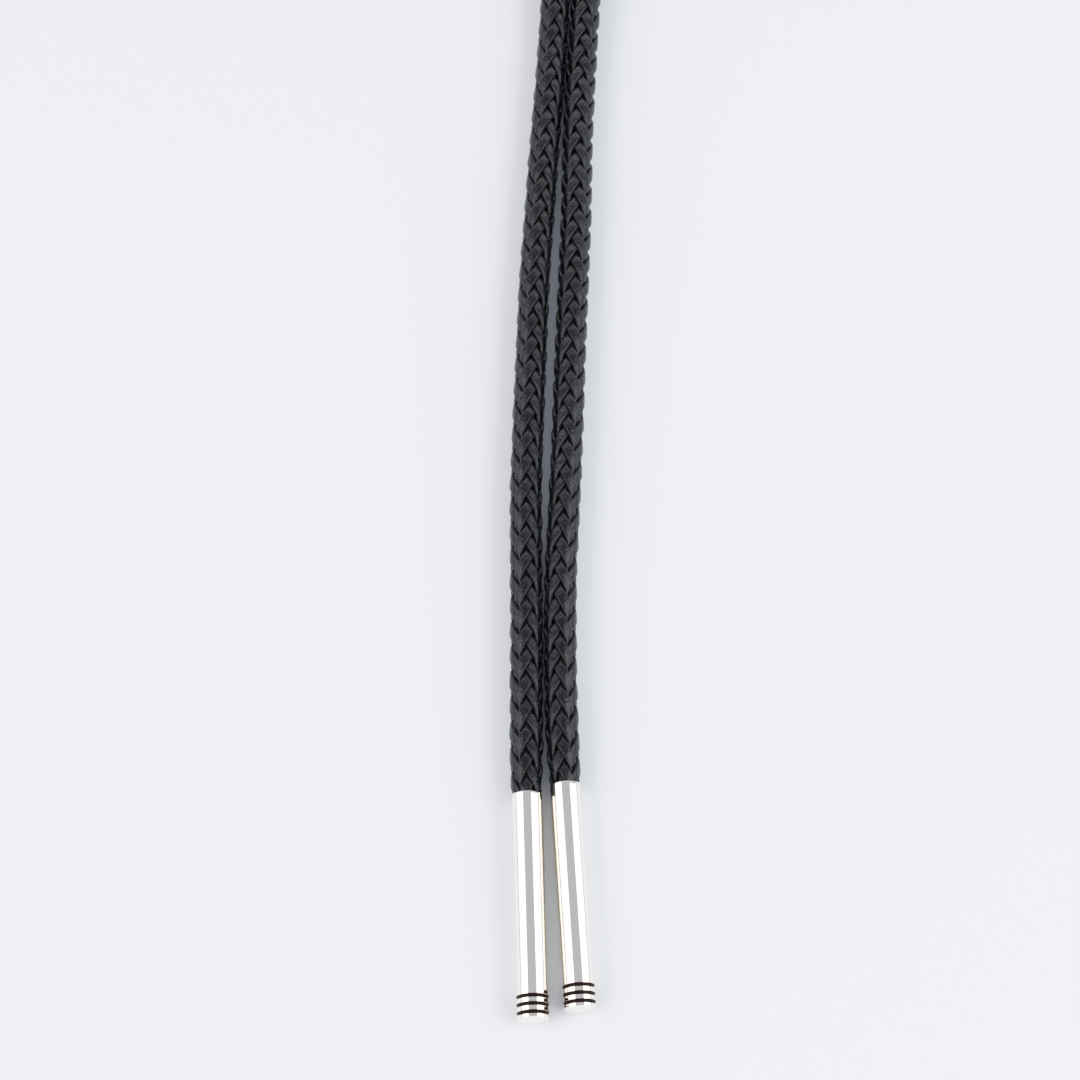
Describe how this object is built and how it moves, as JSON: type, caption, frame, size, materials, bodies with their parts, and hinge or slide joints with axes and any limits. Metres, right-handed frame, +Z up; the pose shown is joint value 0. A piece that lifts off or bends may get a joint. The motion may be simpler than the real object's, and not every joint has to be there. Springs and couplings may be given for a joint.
{
  "type": "bolo tie",
  "caption": "Bolo tie laid flat: a braided leather cord with an open neck loop, a plain sleeve slide and a grooved silver tip on each free end.",
  "frame": {"origin": "centre of the slide's flat underside, on the surface that the tie lies on", "axes": "+Z up from the surface, +Y from the slide into the neck loop, +X to the right seen from above with the free ends towards the viewer"},
  "size_m": [0.1136, 0.414, 0.0094],
  "materials": {
    "silver": "polished silver plate, with blackened grooves on the tips",
    "braided_leather": "black dyed leather lace, braided in twelve strands, half matt"
  },
  "bodies": {
    "root": {"slide": "silver", "neck_loop": "braided_leather", "left_free_end": "braided_leather", "right_free_end": "braided_leather", "left_tip": "silver", "right_tip": "silver"}
  },
  "joints": []
}
